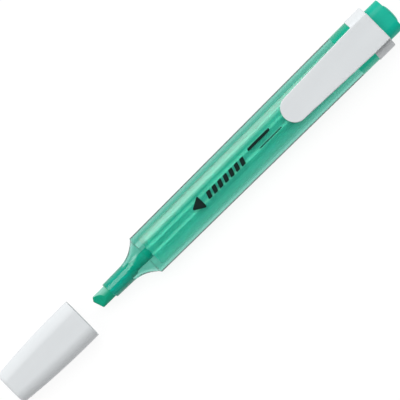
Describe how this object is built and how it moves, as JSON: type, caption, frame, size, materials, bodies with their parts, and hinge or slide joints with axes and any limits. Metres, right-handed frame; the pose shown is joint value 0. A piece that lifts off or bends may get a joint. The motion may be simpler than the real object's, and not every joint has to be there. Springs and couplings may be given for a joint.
{
  "type": "highlighter",
  "caption": "Flat pocket highlighter with a see-through ink barrel, chisel nib, sprung pocket clip, end plug and pull-off cap.",
  "frame": {"origin": "bottom centre of the bounding box with the cap drawn off as in the rest pose: on the plane of the barrel's flat back, on the pen's centre line", "axes": "+X along the pen towards the tail, with the nib and the cap towards -X; +Z out of the face that carries the clip; +Y to complete the frame"},
  "size_m": [0.1602, 0.0156, 0.0118],
  "materials": {
    "tinted_barrel": "see-through, tinted green, glossy",
    "nib_fibre": "ink-soaked bonded fibre",
    "reservoir_fibre": "ink-soaked fibre bundle",
    "clear_film": "thin clear film",
    "green_plastic": "smooth, semi-gloss",
    "white_plastic": "smooth, semi-gloss",
    "natural_plastic": "unpigmented, slightly milky"
  },
  "bodies": {
    "pen": {"barrel": "tinted_barrel", "nib": "nib_fibre", "ink_reservoir": "reservoir_fibre", "reservoir_film": "clear_film", "end_plug": "green_plastic", "clip_ring": "white_plastic"},
    "clip_arm": {"clip_arm": "white_plastic"},
    "cap": {"cap_shell": "white_plastic", "inner_cap": "natural_plastic"}
  },
  "joints": [
    {"name": "cap_slide", "type": "slide", "parent": "pen", "child": "cap", "axis": [-1, 0, 0], "range_m": [-0.0266, 0.0134]},
    {"name": "clip_flex", "type": "hinge", "parent": "pen", "child": "clip_arm", "pos_m": [0.0677, 0, 0.0118], "axis": [0, 1, 0], "range_deg": [0, 5], "stiffness_Nm_per_rad": 1.1}
  ]
}
